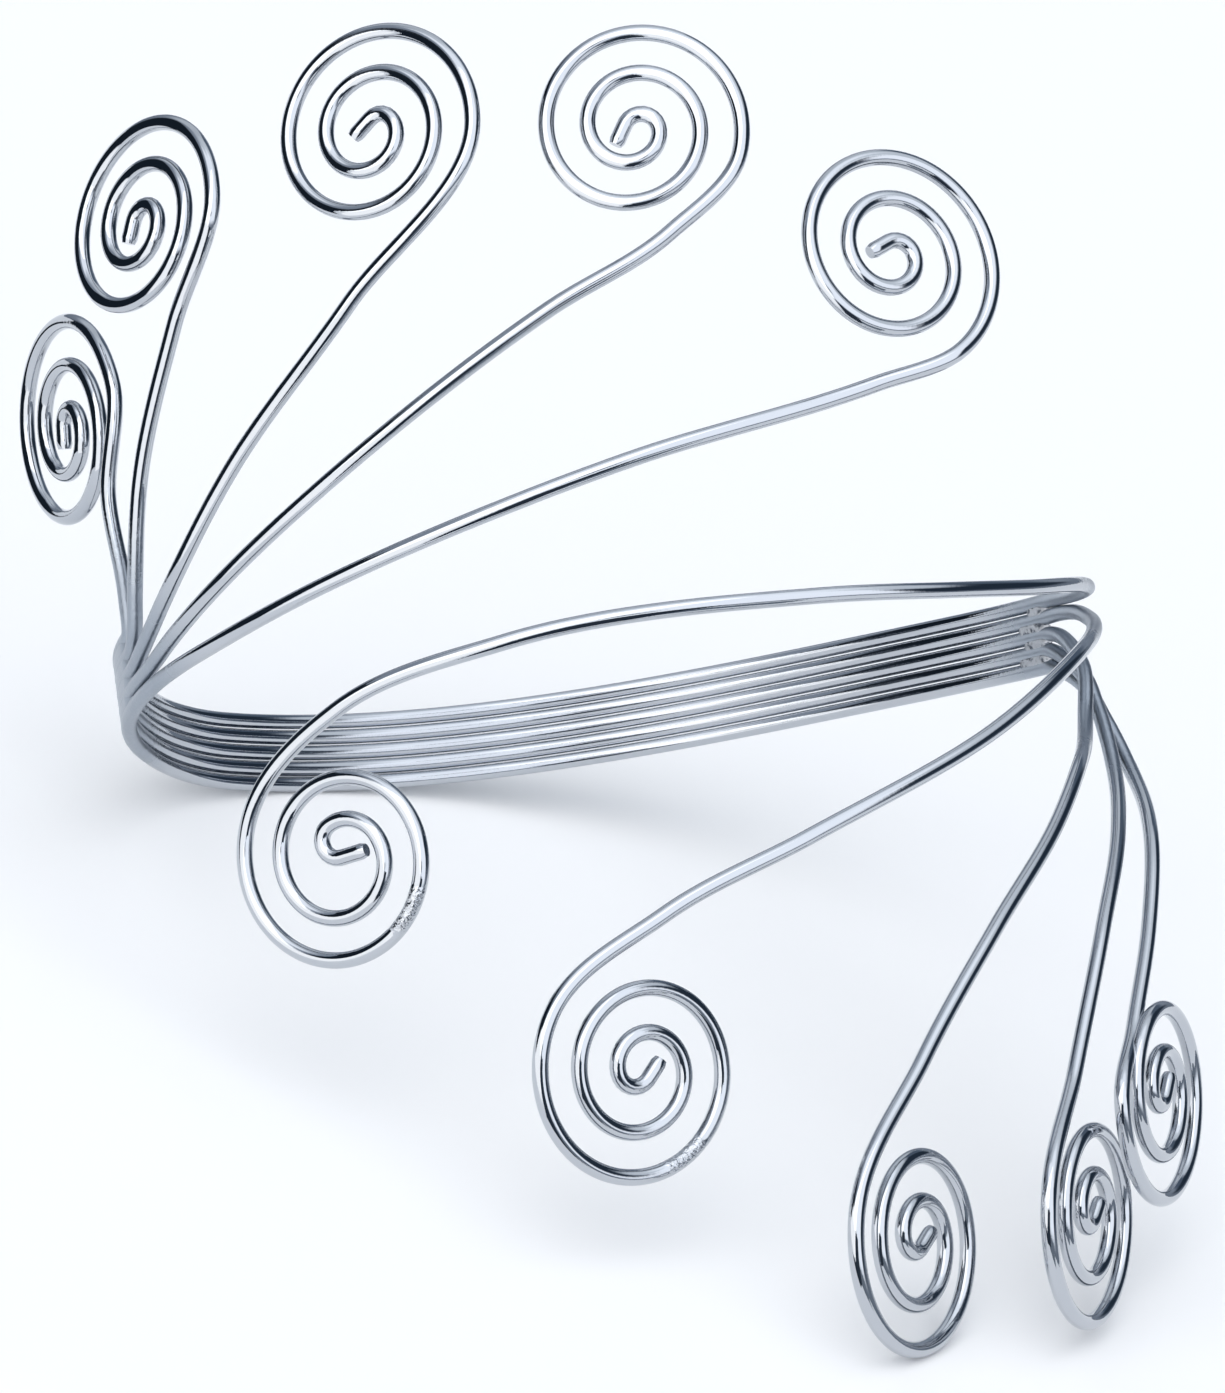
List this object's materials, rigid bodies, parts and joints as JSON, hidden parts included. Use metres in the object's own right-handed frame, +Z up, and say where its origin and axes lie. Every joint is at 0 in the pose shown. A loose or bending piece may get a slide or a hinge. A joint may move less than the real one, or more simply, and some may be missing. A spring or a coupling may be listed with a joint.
{
  "type": "upper arm cuff",
  "caption": "Open upper arm cuff: a back band of round wires that fan out at both ends into long stems, each rolled into a flat spiral with a small hooked tip.",
  "frame": {"origin": "middle of the box's floor face, where the cuff lies on a table", "axes": "+Z up from the table, +X along the longest side of the lying cuff, +Y towards the back of the band; the arm would run along (-0.43, 0.48, 0.77)"},
  "size_m": [0.111, 0.0889, 0.0816],
  "materials": {
    "polished_wire": "mirror polished silver-coloured plating, matt at the solder joints"
  },
  "bodies": {
    "root": {"cuff": "polished_wire"}
  },
  "joints": []
}
